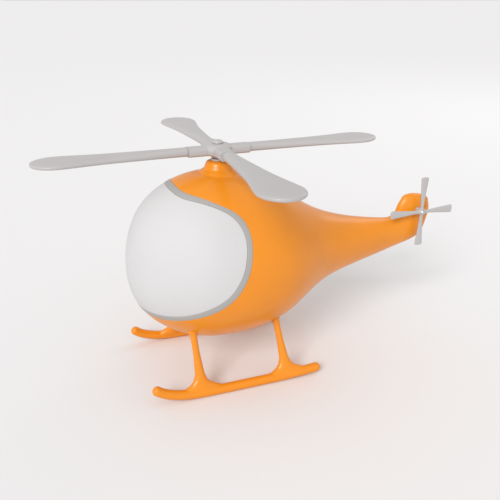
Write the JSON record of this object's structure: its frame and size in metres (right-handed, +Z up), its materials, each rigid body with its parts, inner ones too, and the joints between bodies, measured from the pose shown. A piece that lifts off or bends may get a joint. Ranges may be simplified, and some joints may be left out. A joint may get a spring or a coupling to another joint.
{
  "type": "toy helicopter",
  "caption": "Toy helicopter with an egg-shaped hollow body, a milky bubble canopy, landing skids, a free-spinning bladed main rotor and a small tail rotor.",
  "frame": {"origin": "on the ground under the middle of the overall length and width, between the skids", "axes": "+Z up, -Y out through the nose, +X to the helicopter's own port (left) side"},
  "size_m": [0.2574, 0.3289, 0.1817],
  "materials": {
    "body_orange": "moulded ABS, satin gloss, bright orange",
    "canopy_milk": "moulded milky white plastic, opaque, soft satin",
    "trim_grey": "soft grey moulded trim",
    "rotor_grey": "light grey moulded plastic, satin",
    "bush_grey": "grey acetal, matt",
    "steel": "zinc-plated steel"
  },
  "bodies": {
    "airframe": {"fuselage_left": "body_orange", "fuselage_right": "body_orange", "canopy": "canopy_milk", "canopy_gasket": "trim_grey", "mast_bush": "bush_grey", "tail_spacer": "bush_grey", "tail_axle": "steel", "skid_left": "body_orange", "skid_right": "body_orange", "body_screw_1": "steel", "body_screw_2": "steel", "body_screw_3": "steel", "body_screw_4": "steel", "skid_screw_left_front": "steel", "skid_screw_left_rear": "steel", "skid_screw_right_front": "steel", "skid_screw_right_rear": "steel"},
    "main_rotor": {"rotor_hub": "rotor_grey", "hub_cap": "rotor_grey", "blade_front": "rotor_grey", "blade_port": "rotor_grey", "blade_rear": "rotor_grey", "blade_starboard": "rotor_grey", "rotor_shaft": "steel", "shaft_clip": "steel"},
    "tail_rotor": {"tail_rotor": "rotor_grey"}
  },
  "joints": [
    {"name": "main_rotor_spin", "type": "hinge", "parent": "airframe", "child": "main_rotor", "pos_m": [0, -0.0358, 0.1745], "axis": [0, 0, 1], "continuous": true},
    {"name": "tail_rotor_spin", "type": "hinge", "parent": "airframe", "child": "tail_rotor", "pos_m": [0.0125, 0.135, 0.1115], "axis": [1, 0, 0], "continuous": true}
  ]
}
